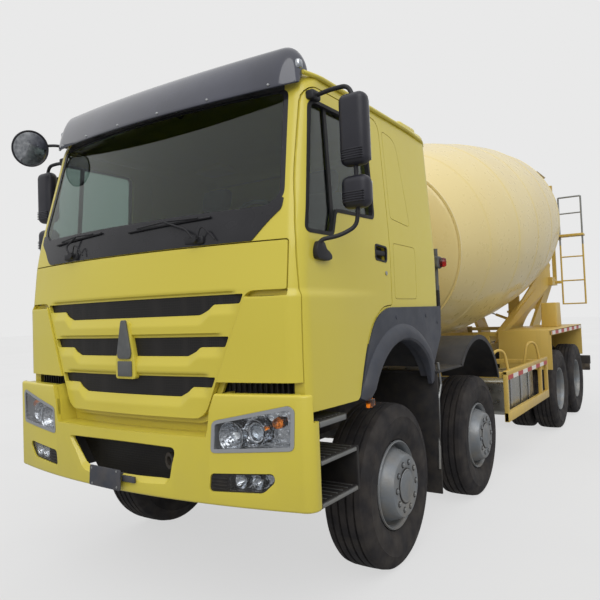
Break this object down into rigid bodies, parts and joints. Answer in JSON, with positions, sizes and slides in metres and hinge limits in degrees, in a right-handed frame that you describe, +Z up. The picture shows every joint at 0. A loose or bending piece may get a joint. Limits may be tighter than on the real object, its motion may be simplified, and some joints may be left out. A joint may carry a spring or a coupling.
{
  "type": "concrete mixer truck",
  "caption": "Forward-control concrete mixer truck: tilting cab, tandem steered and tandem driven axles, inclined rotating drum, charging hopper and swivelling discharge chute.",
  "frame": {"origin": "on the ground under the middle of the truck's overall box", "axes": "-Y towards the front of the cab, +Y towards the chute, +X to the driver's left, +Z up"},
  "size_m": [2.912, 9.961, 4.1881],
  "materials": {
    "cab_yellow": "glossy straw-yellow cab paint with a little dust",
    "body_yellow": "satin yellow paint on welded steel",
    "drum_cream": "glossy pale yellow paint over rolled drum plate",
    "black_plastic": "grained black moulded plastic",
    "dark_plastic": "dark grey moulded plastic",
    "visor_gloss": "smoked glossy plastic",
    "tyre": "black tyre rubber on a grey steel wheel",
    "steel_grey": "bare and grey-painted steel",
    "chassis_black": "black chassis paint with road dust",
    "tank_silver": "rolled aluminium sheet",
    "glass": "greenish laminated glass",
    "trim_grey": "dark grey dashboard trim",
    "seat_cloth": "dark woven seat cloth"
  },
  "bodies": {
    "chassis": {"frame_rails": "chassis_black", "subframe": "body_yellow", "engine_block": "steel_grey", "radiator": "black_plastic", "driveline": "chassis_black", "fuel_tank": "tank_silver", "battery_box": "black_plastic", "side_guard_left": "body_yellow", "side_guard_right": "body_yellow", "step_box_left": "black_plastic", "step_box_right": "black_plastic", "front_axle_1": "chassis_black", "front_axle_2": "chassis_black", "rear_bogie": "chassis_black", "mudguards": "dark_plastic", "rear_fenders": "body_yellow", "front_pedestal": "body_yellow", "rear_pedestal": "body_yellow", "water_tank": "body_yellow", "charge_hopper": "body_yellow", "discharge_funnel": "body_yellow", "ladder": "body_yellow", "rear_bumper": "chassis_black"},
    "cab": {"cab_shell": "cab_yellow", "windshield": "glass", "front_bumper": "cab_yellow", "sun_visor": "visor_gloss", "kerb_mirror": "black_plastic", "dashboard": "trim_grey", "seat_left": "seat_cloth", "seat_right": "seat_cloth"},
    "front_lid": {"front_lid": "cab_yellow"},
    "door_left": {"door_left": "cab_yellow", "door_glass_left": "glass", "mirror_left": "black_plastic"},
    "door_right": {"door_right": "cab_yellow", "door_glass_right": "glass", "mirror_right": "black_plastic"},
    "drum": {"drum": "drum_cream"},
    "drum_roller_left": {"drum_roller_left": "steel_grey"},
    "drum_roller_right": {"drum_roller_right": "steel_grey"},
    "chute_swivel": {"chute_swivel": "body_yellow"},
    "main_chute": {"main_chute": "body_yellow"},
    "chute_extension": {"chute_extension": "body_yellow"},
    "chute_jack": {"chute_jack": "body_yellow"},
    "chute_jack_rod": {"chute_jack_rod": "steel_grey"},
    "knuckle_1_left": {"knuckle_1_left": "chassis_black"},
    "wheel_1_left": {"wheel_1_left": "tyre"},
    "knuckle_1_right": {"knuckle_1_right": "chassis_black"},
    "wheel_1_right": {"wheel_1_right": "tyre"},
    "knuckle_2_left": {"knuckle_2_left": "chassis_black"},
    "wheel_2_left": {"wheel_2_left": "tyre"},
    "knuckle_2_right": {"knuckle_2_right": "chassis_black"},
    "wheel_2_right": {"wheel_2_right": "tyre"},
    "wheel_3_left": {"wheel_3_left": "tyre"},
    "wheel_3_right": {"wheel_3_right": "tyre"},
    "wheel_4_left": {"wheel_4_left": "tyre"},
    "wheel_4_right": {"wheel_4_right": "tyre"}
  },
  "joints": [
    {"name": "steer_1_left", "type": "hinge", "parent": "chassis", "child": "knuckle_1_left", "pos_m": [0.85, -3.5655, 0.538], "axis": [0, 0, 1], "range_deg": [-38, 38]},
    {"name": "spin_1_left", "type": "hinge", "parent": "knuckle_1_left", "child": "wheel_1_left", "pos_m": [1.012, -3.5655, 0.538], "axis": [1, 0, 0], "continuous": true},
    {"name": "steer_1_right", "type": "hinge", "parent": "chassis", "child": "knuckle_1_right", "pos_m": [-0.85, -3.5655, 0.538], "axis": [0, 0, 1], "range_deg": [-38, 38]},
    {"name": "spin_1_right", "type": "hinge", "parent": "knuckle_1_right", "child": "wheel_1_right", "pos_m": [-1.012, -3.5655, 0.538], "axis": [1, 0, 0], "continuous": true},
    {"name": "steer_2_left", "type": "hinge", "parent": "chassis", "child": "knuckle_2_left", "pos_m": [0.85, -1.7655, 0.538], "axis": [0, 0, 1], "range_deg": [-27.36, 27.36]},
    {"name": "spin_2_left", "type": "hinge", "parent": "knuckle_2_left", "child": "wheel_2_left", "pos_m": [1.012, -1.7655, 0.538], "axis": [1, 0, 0], "continuous": true},
    {"name": "steer_2_right", "type": "hinge", "parent": "chassis", "child": "knuckle_2_right", "pos_m": [-0.85, -1.7655, 0.538], "axis": [0, 0, 1], "range_deg": [-27.36, 27.36]},
    {"name": "spin_2_right", "type": "hinge", "parent": "knuckle_2_right", "child": "wheel_2_right", "pos_m": [-1.012, -1.7655, 0.538], "axis": [1, 0, 0], "continuous": true},
    {"name": "spin_3_left", "type": "hinge", "parent": "chassis", "child": "wheel_3_left", "pos_m": [0.9095, 1.7495, 0.538], "axis": [1, 0, 0], "continuous": true},
    {"name": "spin_3_right", "type": "hinge", "parent": "chassis", "child": "wheel_3_right", "pos_m": [-0.9095, 1.7495, 0.538], "axis": [1, 0, 0], "continuous": true},
    {"name": "spin_4_left", "type": "hinge", "parent": "chassis", "child": "wheel_4_left", "pos_m": [0.9095, 3.0995, 0.538], "axis": [1, 0, 0], "continuous": true},
    {"name": "spin_4_right", "type": "hinge", "parent": "chassis", "child": "wheel_4_right", "pos_m": [-0.9095, 3.0995, 0.538], "axis": [1, 0, 0], "continuous": true},
    {"name": "drum_spin", "type": "hinge", "parent": "chassis", "child": "drum", "pos_m": [0, -1.3885, 2.339], "axis": [0, 0.986, 0.1668], "continuous": true},
    {"name": "roller_spin_left", "type": "hinge", "parent": "chassis", "child": "drum_roller_left", "pos_m": [0.54791, 3.73148, 2.3493], "axis": [0, 0.986, 0.1668], "continuous": true},
    {"name": "roller_spin_right", "type": "hinge", "parent": "chassis", "child": "drum_roller_right", "pos_m": [-0.54791, 3.73148, 2.3493], "axis": [0, 0.986, 0.1668], "continuous": true},
    {"name": "cab_tilt", "type": "hinge", "parent": "chassis", "child": "cab", "pos_m": [0, -4.6805, 0.7], "axis": [1, 0, 0], "range_deg": [0, 50]},
    {"name": "front_lid_hinge", "type": "hinge", "parent": "cab", "child": "front_lid", "pos_m": [0, -4.8625, 2.098], "axis": [-1, 0, 0], "range_deg": [0, 75]},
    {"name": "door_left_hinge", "type": "hinge", "parent": "cab", "child": "door_left", "pos_m": [1.16, -4.6805, 1.7], "axis": [0, 0, -1], "range_deg": [0, 70]},
    {"name": "door_right_hinge", "type": "hinge", "parent": "cab", "child": "door_right", "pos_m": [-1.16, -4.6805, 1.7], "axis": [0, 0, 1], "range_deg": [0, 70]},
    {"name": "chute_swing", "type": "hinge", "parent": "chassis", "child": "chute_swivel", "pos_m": [0, 4.7195, 1.56], "axis": [0, 0, -1], "range_deg": [0, 180]},
    {"name": "chute_tilt", "type": "hinge", "parent": "chute_swivel", "child": "main_chute", "pos_m": [-0.13, 4.7195, 1.79], "axis": [0, 1, 0], "range_deg": [-10, 18]},
    {"name": "extension_fold", "type": "hinge", "parent": "main_chute", "child": "chute_extension", "pos_m": [-1.23379, 4.7195, 1.65322], "axis": [0, -1, 0], "range_deg": [0, 180]},
    {"name": "jack_pivot", "type": "hinge", "parent": "chute_swivel", "child": "chute_jack", "pos_m": [-0.15, 4.7195, 1.44], "axis": [0, 1, 0], "range_deg": [-8, 14]},
    {"name": "jack_slide", "type": "slide", "parent": "chute_jack", "child": "chute_jack_rod", "axis": [-0.9267, 0, 0.3758], "range_m": [-0.06, 0.11]}
  ],
  "couplings": [
    {"joint": "steer_1_right", "follows": "steer_1_left", "ratio": 1},
    {"joint": "steer_2_left", "follows": "steer_1_left", "ratio": 0.72},
    {"joint": "steer_2_right", "follows": "steer_1_left", "ratio": 0.72},
    {"joint": "roller_spin_left", "follows": "drum_spin", "ratio": -7.04},
    {"joint": "roller_spin_right", "follows": "drum_spin", "ratio": -7.04},
    {"joint": "jack_pivot", "follows": "chute_tilt", "ratio": 0.73},
    {"joint": "jack_slide", "follows": "chute_tilt", "m_per_rad": 0.325}
  ]
}
